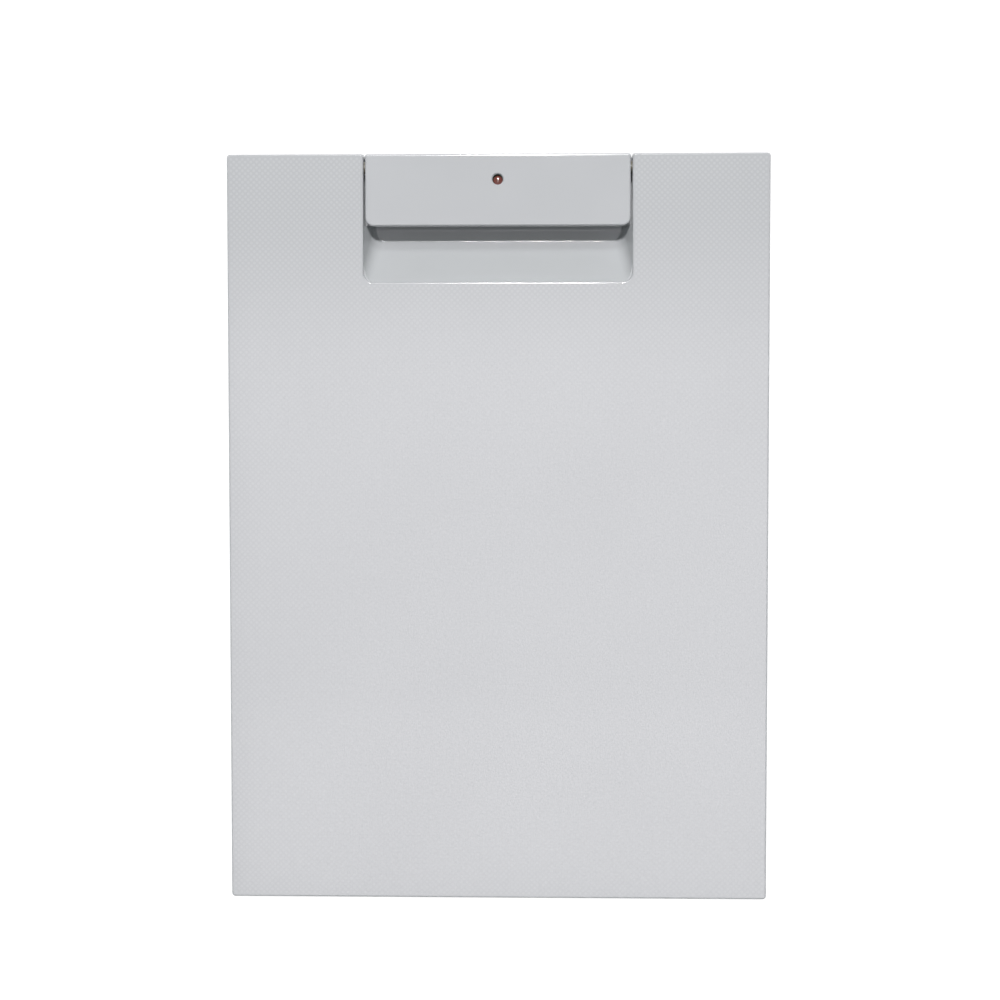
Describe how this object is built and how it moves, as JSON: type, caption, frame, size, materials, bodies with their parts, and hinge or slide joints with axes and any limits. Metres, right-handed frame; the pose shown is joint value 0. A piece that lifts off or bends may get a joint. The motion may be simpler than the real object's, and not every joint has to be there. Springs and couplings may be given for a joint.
{
  "type": "storage clipboard",
  "caption": "Flat storage clipboard: hinged glossy lid as writing board, flush lift clip in a notch at its head, finger scoop, small red lamp in the clip, slide latch and shallow tray.",
  "frame": {"origin": "centre of the outline, in the plane the rubber feet stand on", "axes": "+Z out of the writing face, +Y towards the clip at the head of the page, +X to the writer's right"},
  "size_m": [0.23, 0.318, 0.022],
  "materials": {
    "board_shell": "glossy moulded ABS, light grey, faint dot texture on the lid",
    "tray_plastic": "satin moulded ABS, mid grey",
    "inner_plastic": "plain moulded ABS",
    "bolt_plastic": "dark grey moulded acetal",
    "strike_plastic": "dark grey moulded acetal",
    "black_plastic": "black moulded plastic",
    "nylon": "natural nylon",
    "red_lens": "red diffused epoxy",
    "circuit_board": "green solder mask",
    "pad_rubber": "moulded rubber",
    "foot_rubber": "moulded rubber",
    "pin_steel": "drawn steel rod",
    "screw_steel": "zinc-plated steel",
    "spring_steel": "spring steel",
    "cell_can": "nickel-plated steel can"
  },
  "bodies": {
    "tray": {"tray": "tray_plastic", "hinge_rod": "pin_steel", "strike": "strike_plastic", "strike_screws": "screw_steel", "rubber_feet": "foot_rubber"},
    "lid": {"lid_cover": "board_shell", "clip_housing": "board_shell", "housing_screws": "screw_steel", "pivot_bush_left": "nylon", "pivot_bush_right": "nylon", "clip_pin": "pin_steel", "floor_pad": "pad_rubber", "torsion_spring_left": "spring_steel", "torsion_spring_right": "spring_steel"},
    "clip": {"clip_plate": "board_shell", "clip_frame": "inner_plastic", "frame_screws": "screw_steel", "jaw_pad": "pad_rubber", "indicator_led": "red_lens", "lamp_board": "circuit_board", "button_cells": "cell_can", "cell_strap": "spring_steel", "lamp_switch": "black_plastic", "lamp_cover": "inner_plastic", "lamp_cover_screws": "screw_steel"},
    "bolt": {"thumb_bolt": "bolt_plastic"},
    "knob": {"switch_knob": "black_plastic"}
  },
  "joints": [
    {"name": "lid_hinge", "type": "hinge", "parent": "tray", "child": "lid", "pos_m": [-0.1115, 0, 0.0122], "axis": [0, -1, 0], "range_deg": [0, 130]},
    {"name": "clip_lift", "type": "hinge", "parent": "lid", "child": "clip", "pos_m": [0, 0.1537, 0.0166], "axis": [-1, 0, 0], "range_deg": [0, 40], "stiffness_Nm_per_rad": 0.12, "springref_deg": -34.38, "deforming": ["torsion_spring_left", "torsion_spring_right"]},
    {"name": "bolt_slide", "type": "slide", "parent": "lid", "child": "bolt", "axis": [0, 1, 0], "range_m": [0, 0.005]},
    {"name": "switch_slide", "type": "slide", "parent": "clip", "child": "knob", "axis": [1, 0, 0], "range_m": [0, 0.002]}
  ]
}
